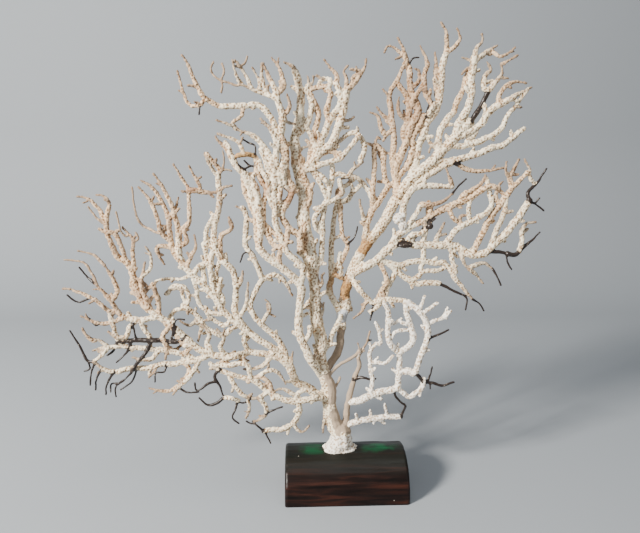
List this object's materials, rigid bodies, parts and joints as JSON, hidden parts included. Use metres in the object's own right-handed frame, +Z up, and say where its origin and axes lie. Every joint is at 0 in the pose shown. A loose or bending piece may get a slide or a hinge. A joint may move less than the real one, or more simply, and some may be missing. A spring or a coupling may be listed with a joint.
{
  "type": "dried sea fan on a wooden block",
  "caption": "Dried branching sea fan, near flat, with warty pale rind and bare dark twigs, standing in a half-round wooden display block.",
  "frame": {"origin": "centre of the flat underside of the wooden block", "axes": "+X to the right along the fan's width and the block's length, +Y away from the viewer across the fan, +Z up"},
  "size_m": [0.3805, 0.067, 0.3737],
  "materials": {
    "stained_wood": "dark stain, glossy, with a green tint along the crest",
    "bare_stem": "bare beige stem, matt, lightly grooved",
    "pale_rind": "dry chalky rind, warty, with tan pits",
    "tan_rind": "dry chalky rind, warty, tan",
    "white_rind": "dry chalky rind, warty, nearly white"
  },
  "bodies": {
    "root": {"wooden_block": "stained_wood", "holdfast": "bare_stem", "centre_bough": "pale_rind", "inner_left_bough": "pale_rind", "left_bough": "pale_rind", "far_left_bough": "tan_rind", "low_left_bough": "pale_rind", "right_bough": "pale_rind", "outer_right_bough": "pale_rind", "low_right_bough": "white_rind", "lowest_right_bough": "white_rind"}
  },
  "joints": []
}
